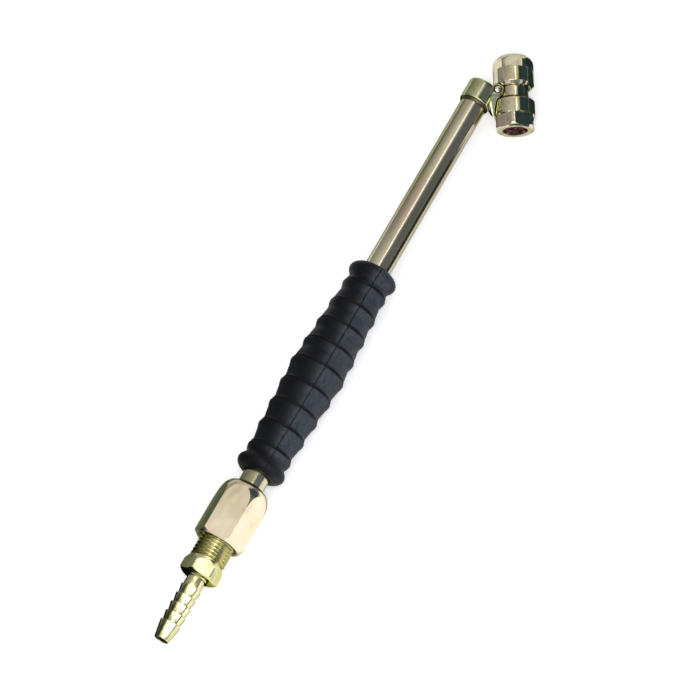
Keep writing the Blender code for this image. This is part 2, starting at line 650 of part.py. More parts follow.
def build_spring(side, foot):
    """Return spring between the disc and the partition: a round wire along a helix."""
    start = FLANGE_DEPTH + WIRE_RADIUS
    rise = PARTITION_DEPTH - FIT_GAP - WIRE_RADIUS - start
    steps = SPRING_TURNS * SPRING_STEPS
    slope = math.atan2(rise, 2 * math.pi * SPRING_RADIUS * SPRING_TURNS)
    mesh = bmesh.new()
    loops = []
    for step in range(steps + 1):
        turn = 2 * math.pi * step / SPRING_STEPS
        outwards = Vector((0, math.cos(turn), math.sin(turn)))
        round_way = Vector((0, -math.sin(turn), math.cos(turn)))
        across = Vector((math.cos(slope), 0, 0)) - round_way * math.sin(slope)
        centre = outwards * SPRING_RADIUS + Vector((start + rise * step / steps, 0, 0))
        loop = []
        for corner in range(WIRE_SIDES):
            angle = 2 * math.pi * corner / WIRE_SIDES
            reach = outwards * math.cos(angle) + across * math.sin(angle)
            loop.append(mesh.verts.new(centre + reach * WIRE_RADIUS))
        loops.append(loop)
    for near, far in zip(loops, loops[1:]):
        for here in range(WIRE_SIDES):
            beside = (here + 1) % WIRE_SIDES
            mesh.faces.new([near[here], near[beside], far[beside], far[here]])
    mesh.faces.new(loops[0])
    mesh.faces.new(loops[-1])
    spring = add_object(side + "_return_spring", mesh, foot)
    spring.data.materials.append(finish_for(side + "_spring_steel", STEEL, METAL, 0.3))


def build_foot(side, clocking, face_width, rounding, foot):
    """One foot of the head, in a frame at its mouth whose +X points inwards."""
    build_cap(side, clocking, face_width, rounding, foot)
    build_gasket(side, foot)
    build_disc(side, foot)
    build_pin(side, foot)
    build_spring(side, foot)


# ---------------------------------------------------------------- rest on the floor

def corner_points(thing, graph):
    """The corners of a piece in the handpiece's frame, its modifiers included."""
    shape = thing.evaluated_get(graph)
    return [thing.matrix_world @ vertex.co for vertex in shape.data.vertices]


def level_supports(supports):
    """The upward direction that makes the lowest points of three supports level.

    Each step goes half way, because the lowest points change as the direction does.
    """
    up = Vector((0, 0, 1))
    for _ in range(LEVELLING_STEPS):
        first, second, third = [min(points, key=up.dot) for points in supports]
        level = (second - first).cross(third - first).normalized()
        up = (up + level * math.copysign(1, level.z)).normalized()
    return up


def lay_down(handpiece):
    """Lay the handpiece on its coupling, its largest rib and its lower foot, along X.

    The bottom centre of its box becomes the origin.
    """
    bpy.context.view_layer.update()
    graph = bpy.context.evaluated_depsgraph_get()
    shown = [thing for thing in bpy.data.objects if thing.type == "MESH" and not thing.hide_render]
    points = {thing.name: corner_points(thing, graph) for thing in shown}
    up = level_supports([points[name] for name in SUPPORTS])
    along = Vector((1, 0, 0))
    along = (along - up * along.dot(up)).normalized()
    turn = Matrix((along, up.cross(along), up))
    placed = [turn @ corner for corners in points.values() for corner in corners]
    low = [min(corner[axis] for corner in placed) for axis in range(3)]
    high = [max(corner[axis] for corner in placed) for axis in range(3)]
    handpiece.rotation_mode = "QUATERNION"
    handpiece.rotation_quaternion = turn.to_quaternion()
    handpiece.location = (-(low[0] + high[0]) / 2, -(low[1] + high[1]) / 2, -low[2])
    bpy.context.view_layer.update()


def build():
    clear_scene()
    handpiece = add_empty("handpiece", None)
    head = add_empty("head", handpiece, (HEAD_X, HEAD_Y, 0), (0, 0, TILT))
    port_place = (BRIDGE_SHIFT, BRIDGE_OFFSET, BRIDGE_HALF_WIDTH)
    port = add_empty("plug_port", head, port_place, (0, math.radians(90), 0))
    passage = build_passage(head)
    build_hose_barb(handpiece)
    build_washer(handpiece)
    build_coupling(handpiece)
    build_fillet("coupling_braze_ring", COUPLING_END, 1, handpiece)
    build_tube(handpiece)
    build_grip(handpiece)
    build_fillet("socket_braze_ring", SLEEVE_START, -1, handpiece)
    build_socket(handpiece, head, port, passage)
    build_plug(port)
    build_head_body(head, passage)
    upper = add_empty("upper_foot", head, (FOOT_REACH, 0, 0), (0, 0, math.pi))
    lower = add_empty("lower_foot", head, (-FOOT_REACH, 0, 0))
    build_foot("upper", UPPER_CLOCKING, UPPER_FACE_WIDTH, UPPER_ROUNDING, upper)
    build_foot("lower", LOWER_CLOCKING, LOWER_FACE_WIDTH, LOWER_ROUNDING, lower)
    lay_down(handpiece)


build()
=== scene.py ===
"""Looks of the tyre inflator handpiece: finer shapes, finishes, light, floor and camera.

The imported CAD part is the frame. Each visible node is replaced by a finer mesh of the same shape in
the same place. Lengths are in millimetres in the handpiece's own frame, as in the CAD source: +X
runs along the tube from the hose tail's tip, the head lies to -Y, and +Z is square to both.
"""

import math

import bmesh
import bpy
from mathutils import Matrix, Vector


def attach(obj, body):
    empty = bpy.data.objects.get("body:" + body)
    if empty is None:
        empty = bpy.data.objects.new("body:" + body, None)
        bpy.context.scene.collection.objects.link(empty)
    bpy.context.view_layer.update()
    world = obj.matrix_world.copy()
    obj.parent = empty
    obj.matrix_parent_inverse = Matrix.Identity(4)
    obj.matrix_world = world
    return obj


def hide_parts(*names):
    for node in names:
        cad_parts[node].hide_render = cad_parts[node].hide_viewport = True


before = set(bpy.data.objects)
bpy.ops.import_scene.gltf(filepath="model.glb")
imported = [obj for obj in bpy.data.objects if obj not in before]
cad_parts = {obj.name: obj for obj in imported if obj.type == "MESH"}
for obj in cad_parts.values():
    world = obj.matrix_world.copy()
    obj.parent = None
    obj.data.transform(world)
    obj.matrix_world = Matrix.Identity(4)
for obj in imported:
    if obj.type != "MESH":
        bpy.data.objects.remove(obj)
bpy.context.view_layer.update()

MM = 0.001

# ---------------------------------------------------------------- sizes, millimetres

TUBE_START = 54.5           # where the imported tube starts, along the handpiece
TURNED_SIDES = 144          # faces round a turned shape; a multiple of six puts some on corners
SMALL_SIDES = 48
GAP = 0.3                   # between neighbouring pieces
EDGE_SUPPORT = 0.15         # from an edge to the ring that keeps the surface beside it flat

TAIL_TIP_RADIUS = 2.75
TAIL_TIP_EDGE = 0.1
TAIL_MOUTH_RADIUS = 2.4
TAIL_MOUTH_EDGE = 0.25
TAIL_BORE_RADIUS = 1.9
TAIL_FLARE = 0.9            # depth of the bore's conical mouth
FIRST_BARB = 6.5
BARB_PITCH = 3.7
BARB_COUNT = 5
BARB_RADIUS = 3.9
BARB_ROOT_RADIUS = 3.2
BARB_STEP = 0.4
STEM_RADIUS = 3.35
STEM_FILLET = 0.3
COLLAR_START = 25.9
COLLAR_END = 32.2
COLLAR_FLATS = 13.0
COLLAR_BLANK_RADIUS = 7.45
COLLAR_BACK = (6.2, 0.8)    # face radius and length of the turned chamfer
COLLAR_FRONT = (6.4, 2.0)
COLLAR_CORNER = 34.6        # degrees, a corner, from +Z towards -Y
THREAD_RADIUS = 6.58
THREAD_PITCH = 1.337
THREAD_DEPTH = 0.856
THREAD_STEPS = 20           # rings to each turn
THREAD_FINE_END = 42.0
THREAD_RELIEF = 0.4
TAIL_END = 49.0

COUPLING_START = 40.2
COUPLING_END = 63.2
COUPLING_FLATS = 17.0
COUPLING_CORNER = 18.0
COUPLING_FACE = (8.3, 1.3)
COUPLING_MOUTH_RADIUS = 7.9
COUPLING_MOUTH_DEPTH = 1.0
COUPLING_BEVEL = 0.22
FEMALE_RADIUS = 6.88
WEB_START = 50.6
WEB_END = 54.2
WEB_HOLE_RADIUS = 1.8
NOSE_LENGTH = 9.2
NOSE_REACH = 10.0
NOSE_DEPTH = 4.0
NOSE_STEPS = 16
LEAST_CHAMFER = 0.05        # share of a turned chamfer that its lowest place keeps
FLAT_SUPPORT = 0.3          # from a flat's end to the twin ring that keeps it flat

TUBE_RADIUS = 4.9
TUBE_BORE_RADIUS = 3.7
TUBE_END = 238.5
BRAZED_BORE_RADIUS = 5.15
BRAZE_GAP = 0.25            # from a joint's face to its ring of braze
BRAZE_LENGTH = 0.85
BRAZE_CREST = 0.75
BRAZE_RISE = (0.08, 0.42)   # of its far edge over the bore, and from there to its near edge

GRIP_START = 69.4
GRIP_END = 158.16
GRIP_BORE_RADIUS = 5.2
RIB_COUNT = 9
FIRST_RIB = 9.1             # from the grip's start to a crest
RIB_PITCH = 8.82
RIB_MIDDLE_RADIUS = 10.6
RIB_END_RADIUS = 8.55
RIB_HEIGHT = 0.72
FLANGE = ((0, 6.6), (0.05, 6.9), (0.5, 7.75), (1.12, 8.5), (2.0, 9.1), (2.8, 9.3), (3.5, 9.2),
          (4.2, 8.9), (5.2, 8.1), (6.2, 7.6))       # distance from the grip's end, and radius
CREASE_PLACE = 0.55         # painted shade in each crease: its middle, past the crest
CREASE_HALF_WIDTH = 0.56
FLANGE_SHADE = (8.0, 5.0, 0.85)     # painted shade on the hose-side flange: where it ends, over what length it fades, and its most

SLEEVE_START = 233.7
SLEEVE_END = 242.0
SLEEVE_RADIUS = 5.8
SLEEVE_RIM_BEVEL = 0.35
SLEEVE_ROUNDING = 1.1
CHAMBER_END = 240.6
BRIDGE_PLACE = (0.7, 6.6)   # of the boss, in the head's frame
BRIDGE_RADIUS = 2.3
BRIDGE_HALF_WIDTH = 4.3
BRIDGE_BEVEL = 0.3
ROOT_PLACE = (-3.2, -3.0)   # from the sleeve's end and axis
ROOT_RADIUS = 1.2
POINT_PLACE = (-0.2, -2.0)  # from the sleeve's start and side
POINT_RADIUS = 0.4
POINT_HALF_WIDTH = 1.0
PLUG_RECESS = (1.6, 0.7)    # radius and depth
PLUG_DRILL_RADIUS = 1.1
PLUG_DOME = 0.6
PLUG_STEM = (0.8, 2.2)      # radius and length
CAP_CLEARANCE = 0.35
SOCKET_GRAIN = 0.14         # of the mesh that its soft corners are drawn in

FOOT_REACH = 14.2
NECK_LENGTH = 4.4
NECK_RADIUS = 5.3
NECK_FILLET = 0.15
SPIGOT_START = 7.7          # from the mouth
SPIGOT_RADIUS = 5.6
SPIGOT_BEVEL = 0.3
HEAD_CHAMBER_RADIUS = 3.9
AIR_HOLE_RADIUS = 1.3
PARTITION_HALF = 1.6
SKIRT_RADIUS = 7.5
CAP_SHOULDER = 1.1
CAP_FLATS = 13.5
CAP_HEX_LENGTH = 5.2
CAP_HEX_RUNOUT = 0.3        # over which the hexagon goes over into the round skirt
FLAT_START = 0.12           # from the turned end to where a flat starts
CAP_BEVEL = 0.09
CAP_BORE = (4.9, 5.9)       # depth where it starts, and radius
CAP_CORNER = {"upper": 38.0, "lower": -14.0}        # degrees, from +Z towards -Y
MOUTH_FACE_RADIUS = {"upper": 5.4, "lower": 6.3}
MOUTH_ROUNDING = {"upper": 3.0, "lower": 1.15}
MOUTH_RADIUS = 4.5
MOUTH_EDGE = 0.3
GASKET_ENDS = (5.2, 7.4)
GASKET_HOLE_RADIUS = 1.9
GASKET_BEVEL = 0.15
PIN = ((4.0, 0), (4.08, 0.5), (4.35, 0.85), (5.05, 1.05), (9.1, 1.05), (9.1, 2.0), (9.7, 2.0),
       (9.7, 0.8), (10.9, 0.8), (10.9, 0))          # depth and radius


# ---------------------------------------------------------------- the handpiece's own frame

def middle(node):
    """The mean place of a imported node's corners."""
    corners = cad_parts[node].data.vertices
    return sum((corner.co for corner in corners), Vector()) / len(corners)


def handpiece_frame():
    """The handpiece's frame in the row frame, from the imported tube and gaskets."""
    corners = [corner.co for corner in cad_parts["main_tube"].data.vertices]
    centre = sum(corners, Vector()) / len(corners)
    halves = ([c for c in corners if c.x < centre.x], [c for c in corners if c.x > centre.x])
    start, end = [sum(half, Vector()) / len(half) for half in halves]
    along = (end - start).normalized()
    head = middle("upper_foot_gasket") - middle("lower_foot_gasket")
    up = along.cross(head).normalized()
    turn = Matrix((along, up.cross(along), up)).transposed()
    return Matrix.Translation(start - along * TUBE_START * MM) @ turn.to_4x4()


def frame_along(place, along):
    """A frame whose +X points along a direction square to the handpiece's +Z."""
    up = HANDPIECE.to_3x3() @ Vector((0, 0, 1))
    turn = Matrix((along, up.cross(along), up)).transposed()
    return Matrix.Translation(place) @ turn.to_4x4()


def head_frames():
    """The head's frame, +X pointing to the upper foot, and one at each mouth, +X inwards."""
    upper, lower = middle("upper_foot_gasket"), middle("lower_foot_gasket")
    centre, along = (upper + lower) / 2, (upper - lower).normalized()
    feet = {side: frame_along(centre + outwards * FOOT_REACH * MM, -outwards)
            for side, outwards in (("upper", along), ("lower", -along))}
    return frame_along(centre, along), feet


HANDPIECE = handpiece_frame()
HEAD, FEET = head_frames()


# ---------------------------------------------------------------- mesh helpers

def object_of(name, mesh):
    """Make an object of a bmesh, which is then freed."""
    data = bpy.data.meshes.new(name)
    mesh.to_mesh(data)
    mesh.free()
    thing = bpy.data.objects.new(name, data)
    bpy.context.scene.collection.objects.link(thing)
    return thing


def put_in_place(name, mesh, place, bevel=0.0, sharp=14, dark=None):
    """Make an object of a bmesh in millimetres that lies in a frame of the row.

    Its corners keep their places in that frame as an attribute, which the finishes are laid out
    by. A second attribute marks painted shade: how dark a corner is kept, as in bores and recesses.
    """
    bmesh.ops.remove_doubles(mesh, verts=mesh.verts, dist=1e-4)
    bmesh.ops.recalc_face_normals(mesh, faces=mesh.faces)
    own = mesh.verts.layers.float_vector.new("place")
    depth = mesh.verts.layers.float.new("dark")
    for corner in mesh.verts:
        corner[own] = corner.co
        corner[depth] = dark(corner.co) if dark else 0.0
    mesh.transform(place @ Matrix.Scale(MM, 4))
    thing = object_of(name, mesh)
    thing.data.shade_smooth()
    thing.data.set_sharp_from_angle(angle=math.radians(sharp))
    if bevel:
        soften = thing.modifiers.new("soft_edges", "BEVEL")
        soften.width = bevel * MM
        soften.segments = 3
        soften.angle_limit = math.radians(sharp)
        soften.harden_normals = True
    return thing


def ring_mesh(rings, sides=TURNED_SIDES, corner=0.0, solid=False):
    """A bmesh turned about X from rings of (x, radius), or of a function of the angle.

    Angles run from +Z towards -Y. A solid shape starts and ends on the axis; any other closes
    its last ring on its first.
    """
    mesh = bmesh.new()
    loops = []
    for ring in rings:
        if not callable(ring) and ring[1] == 0:
            loops.append([mesh.verts.new((ring[0], 0, 0))] * sides)
            continue
        loop = []
        for step in range(sides):
            angle = math.radians(corner) + 2 * math.pi * step / sides
            x, radius = ring(angle) if callable(ring) else ring
            loop.append(mesh.verts.new((x, -radius * math.sin(angle), radius * math.cos(angle))))
        loops.append(loop)
    following = loops[1:] if solid else loops[1:] + loops[:1]
    for near, far in zip(loops, following):
        for here in range(sides):
            beside = (here + 1) % sides
            face = [near[here], near[beside], far[beside], far[here]]
            mesh.faces.new(list(dict.fromkeys(face)))
    return mesh


def turned(name, rings, place, sides=TURNED_SIDES, corner=0.0, bevel=0.0, solid=False,
           painted_shade_within=0.0):
    """A turned piece, put in its frame; painted shade darkens its surface within a radius."""
    return put_in_place(name, ring_mesh(rings, sides, corner, solid), place, bevel,
                        dark=lambda co: 1.0 if math.hypot(co.y, co.z) < painted_shade_within else 0.0)


def hexagon(flats, corner):
    """The radius of a hexagon at an angle, from its size across flats and a corner's angle."""
    def radius(angle):
        from_corner = (angle - math.radians(corner)) % math.radians(60)
        return flats / 2 / math.cos(from_corner - math.radians(30))
    return radius


def beside(ring, shift):
    """A ring's twin, shifted along the axis, which keeps the shading of a flat side flat."""
    def point(angle):
        x, radius = ring(angle)
        return x + shift, radius
    return point


def quarter_turn(steps):
    """Angles from 0 to 90 degrees in even steps, in radians."""
    return [math.radians(90) * step / steps for step in range(steps + 1)]


def dress(thing, node, body, material):
    """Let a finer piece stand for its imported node."""
    thing.data.materials.clear()
    thing.data.materials.append(material)
    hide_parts(node)
    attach(thing, body)


# ---------------------------------------------------------------- materials

def new_material(name):
    """A material, with its nodes and links."""
    material = bpy.data.materials.new(name)
    material.use_nodes = True
    return material, material.node_tree.nodes, material.node_tree.links


def place_of(nodes):
    """A piece's own coordinates, in millimetres."""
    place = nodes.new("ShaderNodeAttribute")
    place.attribute_name = "place"
    return place.outputs["Vector"]


def noise_of(nodes, links, size, stretch=1.0, detail=3.0, distortion=0.0):
    """Noise of a given size in millimetres, drawn out along the piece's axis."""
    spread = nodes.new("ShaderNodeMapping")
    spread.inputs["Scale"].default_value = (1 / (size * stretch), 1 / size, 1 / size)
    noise = nodes.new("ShaderNodeTexNoise")
    noise.inputs["Scale"].default_value = 1.0
    noise.inputs["Detail"].default_value = detail
    noise.inputs["Distortion"].default_value = distortion
    links.new(place_of(nodes), spread.inputs["Vector"])
    links.new(spread.outputs["Vector"], noise.inputs["Vector"])
    return noise.outputs["Fac"]


def tones_of(nodes, links, value, tones):
    """A run of colours along a value: pairs of a position and a colour."""
    ramp = nodes.new("ShaderNodeValToRGB")
    elements = ramp.color_ramp.elements
    while len(elements) < len(tones):
        elements.new(0.5)
    for element, (position, colour) in zip(elements, tones):
        element.position = position
        element.color = (*colour, 1)
    links.new(value, ramp.inputs["Fac"])
    return ramp.outputs["Color"]


def range_of(nodes, links, value, low, high, start=0.0, end=1.0, ease="LINEAR"):
    """A value that runs from start to end, brought to another range."""
    spread = nodes.new("ShaderNodeMapRange")
    spread.interpolation_type = ease
    spread.inputs["From Min"].default_value = start
    spread.inputs["From Max"].default_value = end
    spread.inputs["To Min"].default_value = low
    spread.inputs["To Max"].default_value = high
    links.new(value, spread.inputs["Value"])
    return spread.outputs["Result"]


def bump_of(nodes, links, height, depth, shader, below=None):
    """Raise the surface by a height in millimetres, over another bump if there is one."""
    bump = nodes.new("ShaderNodeBump")
    bump.inputs["Distance"].default_value = depth * MM
    links.new(height, bump.inputs["Height"])
    if below is not None:
        links.new(below, bump.inputs["Normal"])
    links.new(bump.outputs["Normal"], shader.inputs["Normal"])
    return bump.outputs["Normal"]


def mark_of(nodes):
    """How much painted shade a piece is marked with at a place, from 0 to 1."""
    mark = nodes.new("ShaderNodeAttribute")
    mark.attribute_name = "dark"
    return mark.outputs["Fac"]


def mixed(nodes, links, share, first, second):
    """Two colours mixed by a share; each is a colour or a node's output."""
    mix = nodes.new("ShaderNodeMix")
    mix.data_type = "RGBA"
    links.new(share, mix.inputs["Factor"])
    for socket, colour in ((mix.inputs["A"], first), (mix.inputs["B"], second)):
        if isinstance(colour, tuple):
            socket.default_value = (*colour, 1)
        else:
            links.new(colour, socket)
    return mix.outputs["Result"]


def plated(name, tones, film_size, stretch, roughness, grain, edge_tint, shade_tones):
    """Glossy passivated zinc: an uneven film of colour over bright plate, pitted and streaked.

    Where a piece is marked as dark, painted shade makes it duller and nearly black, as bores and
    recesses look in shade.
    """
    material, nodes, links = new_material(name)
    shader = nodes["Principled BSDF"]
    mark = mark_of(nodes)
    links.new(range_of(nodes, links, mark, 1.0, SHADED_METALLIC), shader.inputs["Metallic"])
    shader.inputs["Specular Tint"].default_value = (*edge_tint, 1)
    film = noise_of(nodes, links, film_size, stretch, 4.0, 0.6)
    shade_noise = noise_of(nodes, links, 1.6, stretch * 0.6, 2.0)
    colour = mixed(nodes, links, mark, tones_of(nodes, links, film, tones),
                   tones_of(nodes, links, shade_noise, shade_tones))
    links.new(colour, shader.inputs["Base Color"])
    worn = noise_of(nodes, links, 2.5, stretch, 5.0)
    links.new(range_of(nodes, links, worn, roughness * 0.6, roughness * 1.4),
              shader.inputs["Roughness"])
    size, depth = grain
    pits = noise_of(nodes, links, size, 1.0, 2.0)
    ripples = noise_of(nodes, links, size * 5, stretch * 3, 2.0)
    below = bump_of(nodes, links, ripples, depth * 2, shader)
    bump_of(nodes, links, pits, depth, shader, below)
    return material


def rubber(name, colour, roughness):
    """Matte moulded rubber with a fine grain and faint bloom."""
    material, nodes, links = new_material(name)
    shader = nodes["Principled BSDF"]
    shader.inputs["Specular IOR Level"].default_value = 0.3
    bloom_and_sheen = noise_of(nodes, links, 7.0, 1.5, 5.0, 0.5)
    low, high = [c * 0.8 for c in colour], [c * 1.35 for c in colour]
    links.new(tones_of(nodes, links, bloom_and_sheen, ((0.3, low), (0.7, high))),
              shader.inputs["Base Color"])
    links.new(range_of(nodes, links, bloom_and_sheen, roughness - 0.08, roughness + 0.1),
              shader.inputs["Roughness"])
    grain = noise_of(nodes, links, 0.25, 1.0, 3.0)
    bump_of(nodes, links, grain, 0.02, shader)
    return material


def across_of(nodes, links, direction, around):
    """How far a place lies along a direction square to the tube.

    Around, it is the cosine of the angle between them, and otherwise millimetres.
    """
    flat = nodes.new("ShaderNodeVectorMath")
    flat.operation = "MULTIPLY"
    flat.inputs[1].default_value = (0, 1, 1)
    links.new(place_of(nodes), flat.inputs[0])
    if around:
        unit = nodes.new("ShaderNodeVectorMath")
        unit.operation = "NORMALIZE"
        links.new(flat.outputs["Vector"], unit.inputs[0])
        flat = unit
    dot = nodes.new("ShaderNodeVectorMath")
    dot.operation = "DOT_PRODUCT"
    dot.inputs[1].default_value = direction
    links.new(flat.outputs["Vector"], dot.inputs[0])
    return dot.outputs["Value"]


def math_of(nodes, links, operation, first, second=None):
    """One sum on values."""
    step = nodes.new("ShaderNodeMath")
    step.operation = operation
    for socket, value in zip(step.inputs, (first, second)):
        if isinstance(value, float):
            socket.default_value = value
        elif value is not None:
            links.new(value, socket)
    return step.outputs["Value"]


def grip_rubber():
    """The grip's rubber: blue-black, with a painted sheen where a lamp would light one side.

    The dark mould line runs along both sides of the grip, and the painted sheen, broken up by
    scuffs, lies beside one of them. Where the rubber is marked as dark, painted shade makes it
    near black.
    """
    material, nodes, links = new_material("grip_rubber")
    shader = nodes["Principled BSDF"]
    shader.inputs["Specular IOR Level"].default_value = 0.16
    line, bloom_and_sheen = math.radians(MOULD_LINE), math.radians(SHEEN_MIDDLE)
    # painted sheen: the rubber is lighter on the side that faces its middle, unevenly, by the scuffs
    facing = across_of(nodes, links, (0, -math.sin(bloom_and_sheen), math.cos(bloom_and_sheen)), True)
    sheen_share = range_of(nodes, links, facing, 0.0, 1.0, SHEEN_EDGE, 1.0, "SMOOTHERSTEP")
    scuffs = noise_of(nodes, links, 1.1, 1.6, 5.0, 0.8)
    uneven = range_of(nodes, links, scuffs, 0.35, 1.45)
    sheen_amount = math_of(nodes, links, "MULTIPLY", sheen_share, uneven)
    aside = across_of(nodes, links, (0, -math.cos(line), -math.sin(line)), False)
    near = math_of(nodes, links, "ABSOLUTE", aside)
    seam = range_of(nodes, links, near, 0.0, 1.0, *MOULD_LINE_WIDTH, "SMOOTHSTEP")
    lined = mixed(nodes, links, seam, MOULD_LINE_COLOUR, tones_of(nodes, links, sheen_amount, GRIP_SHEEN_TONES))
    # painted shade where the rubber is marked as dark: the creases and the hose-side flange
    links.new(mixed(nodes, links, mark_of(nodes), lined, GRIP_PAINTED_SHADE),
              shader.inputs["Base Color"])
    links.new(range_of(nodes, links, scuffs, 0.42, 0.6), shader.inputs["Roughness"])
    grain = noise_of(nodes, links, 0.28, 1.0, 3.0)
    marks = bump_of(nodes, links, scuffs, 0.12, shader)
    skin = bump_of(nodes, links, grain, 0.03, shader, marks)
    bump_of(nodes, links, seam, 0.12, shader, skin)
    return material


OLIVE, BEIGE, CREAM = (0.44, 0.45, 0.24), (0.62, 0.57, 0.38), (0.74, 0.68, 0.50)
PINK, TEAL = (0.70, 0.56, 0.44), (0.36, 0.48, 0.42)
DARK_EDGE = (0.30, 0.34, 0.26)
# Painted shade in bores, mouths and recesses: duller metal there, and dark colours, brown with a pink
# streak in some finishes and black in others
SHADED_METALLIC = 0.35
BROWN_BORE_SHADE = ((0.35, (0.05, 0.03, 0.02)), (0.54, (0.13, 0.075, 0.05)), (0.66, (0.50, 0.20, 0.24)))
BLACK_BORE_SHADE = ((0.4, (0.010, 0.009, 0.007)), (0.7, (0.03, 0.025, 0.018)))
MOULD_LINE = 11.0           # degrees, from +Z towards -Y
MOULD_LINE_WIDTH = (0.08, 0.3)      # half of it, at its darkest and where it has faded
MOULD_LINE_COLOUR = (0.003, 0.003, 0.005)
# painted shade in the grip's creases and on its hose-side flange
GRIP_PAINTED_SHADE = (0.0025, 0.0025, 0.004)
# Painted sheen on one side of the grip, where a lamp would light it: its middle, in degrees from +Z
# towards -Y
SHEEN_MIDDLE = 33.0
SHEEN_EDGE = 0.62           # cosine of the angle from its middle
# the grip's colour, from the rubber's own blue-black up to the lighter slate of the painted sheen
GRIP_SHEEN_TONES = ((0.0, (0.0024, 0.0032, 0.0062)), (0.45, (0.010, 0.013, 0.018)),
              (1.0, (0.040, 0.049, 0.060)))
TUBE_ZINC = plated("tube_zinc", ((0.30, (0.37, 0.37, 0.21)), (0.42, (0.50, 0.46, 0.31)),
                                 (0.56, (0.56, 0.47, 0.36)), (0.7, (0.66, 0.63, 0.46))),
                   4.0, 12.0, 0.15, (0.35, 0.014), DARK_EDGE, BLACK_BORE_SHADE)
COUPLING_ZINC = plated("coupling_zinc", ((0.28, (0.66, 0.58, 0.41)), (0.42, (0.76, 0.68, 0.48)),
                                         (0.58, (0.80, 0.69, 0.53)), (0.75, (0.84, 0.80, 0.60))),
                       6.0, 1.6, 0.20, (0.5, 0.005), DARK_EDGE, BROWN_BORE_SHADE)
HEAD_ZINC = plated("head_zinc", ((0.28, OLIVE), (0.42, BEIGE), (0.52, CREAM),
                                 (0.62, PINK), (0.74, TEAL)),
                   4.0, 1.5, 0.13, (0.4, 0.008), DARK_EDGE, BROWN_BORE_SHADE)
SOCKET_ZINC = plated("socket_zinc", ((0.28, (0.34, 0.38, 0.18)), (0.45, (0.46, 0.48, 0.26)),
                                     (0.58, (0.55, 0.53, 0.34)), (0.72, (0.40, 0.46, 0.38))),
                     3.5, 1.3, 0.16, (0.4, 0.012), DARK_EDGE, BLACK_BORE_SHADE)
TAIL_ZINC = plated("tail_zinc", ((0.28, (0.45, 0.43, 0.19)), (0.5, (0.66, 0.61, 0.33)),
                                 (0.75, (0.80, 0.77, 0.50))),
                   4.0, 2.0, 0.16, (0.4, 0.003), (0.2, 0.24, 0.12), BLACK_BORE_SHADE)
BRASS = plated("brass_finish", ((0.3, (0.30, 0.22, 0.10)), (0.7, (0.55, 0.42, 0.2))),
               2.0, 1.0, 0.3, (0.3, 0.006), (0.5, 0.4, 0.2), BLACK_BORE_SHADE)
# Near-black braze: painted shadow, the dark line beside the sleeve's and the coupling's rims
BRAZE_SHADOW_LINE = plated("braze_painted_shadow", ((0.3, (0.05, 0.045, 0.025)), (0.7, (0.14, 0.12, 0.06))),
               1.0, 1.0, 0.4, (0.2, 0.01), (0.1, 0.1, 0.06), BLACK_BORE_SHADE)
STEEL = plated("steel_finish", ((0.3, (0.45, 0.45, 0.45)), (0.7, (0.6, 0.6, 0.6))),
               2.0, 1.0, 0.25, (0.2, 0.004), (0.5, 0.5, 0.5), BLACK_BORE_SHADE)
GRIP_RUBBER = grip_rubber()
SEAL_RUBBER = rubber("seal_rubber", (0.02, 0.02, 0.02), 0.6)


# ---------------------------------------------------------------- hose end

def thread_radius(x, angle):
    """Rounded thread profile at a place along and round the thread."""
    phase = (x / THREAD_PITCH - angle / (2 * math.pi)) % 1.0
    return THREAD_RADIUS - THREAD_DEPTH * (0.5 - 0.5 * math.cos(2 * math.pi * phase)) ** 0.8


def chamfered(start, direction, chamfer, outline, blank):
    """The edge that a turned chamfer, of a face radius and a length, cuts on an outline."""
    face, length = chamfer

    def point(angle):
        rise = (outline(angle) - face) / (blank - face)
        return start + direction * length * max(rise, LEAST_CHAMFER), outline(angle)
    return point


def build_hose_barb():
    """Barbed tail, hexagon collar and rounded thread in one turned piece with a bore."""
    flats = hexagon(COLLAR_FLATS, COLLAR_CORNER)

    def limited(angle):
        return min(flats(angle), COLLAR_BLANK_RADIUS)

    def collar_edge(start, direction, chamfer):
        return chamfered(start, direction, chamfer, limited, COLLAR_BLANK_RADIUS)

    def thread(x):
        return lambda angle: (x, thread_radius(x, angle))

    root = THREAD_RADIUS - THREAD_DEPTH
    rings = [(TAIL_MOUTH_EDGE, TAIL_MOUTH_RADIUS), (0, TAIL_MOUTH_RADIUS + TAIL_TIP_EDGE),
             (0, TAIL_TIP_RADIUS - TAIL_TIP_EDGE), (TAIL_TIP_EDGE, TAIL_TIP_RADIUS)]
    for barb in range(BARB_COUNT):
        crest = FIRST_BARB + barb * BARB_PITCH
        rings += [(crest - 0.12, BARB_RADIUS - 0.03), (crest, BARB_RADIUS - 0.02),
                  (crest + BARB_STEP * 0.6, BARB_ROOT_RADIUS + 0.12),
                  (crest + BARB_STEP, BARB_ROOT_RADIUS)]
    rings[-1] = (rings[-1][0], STEM_RADIUS)
    rings += [(COLLAR_START - STEM_FILLET, STEM_RADIUS),
              (COLLAR_START, STEM_RADIUS + STEM_FILLET), (COLLAR_START, COLLAR_BACK[0]),
              collar_edge(COLLAR_START, 1, COLLAR_BACK), collar_edge(COLLAR_END, -1, COLLAR_FRONT),
              (COLLAR_END, COLLAR_FRONT[0]), (COLLAR_END, root),
              (COLLAR_END + THREAD_RELIEF, root)]
    start = COLLAR_END + THREAD_RELIEF + 0.1
    count = int((THREAD_FINE_END - start) / THREAD_PITCH * THREAD_STEPS)
    rings += [thread(start + THREAD_PITCH * step / THREAD_STEPS) for step in range(count)]
    rings += [(THREAD_FINE_END, root), (TAIL_END, root), (TAIL_END, TAIL_BORE_RADIUS),
              (TAIL_FLARE, TAIL_BORE_RADIUS)]
    # Painted shade darkens the tail's mouth and bore.
    return turned("hose_tail", rings, HANDPIECE, corner=COLLAR_CORNER,
                  painted_shade_within=TAIL_MOUTH_RADIUS + TAIL_TIP_EDGE / 2)


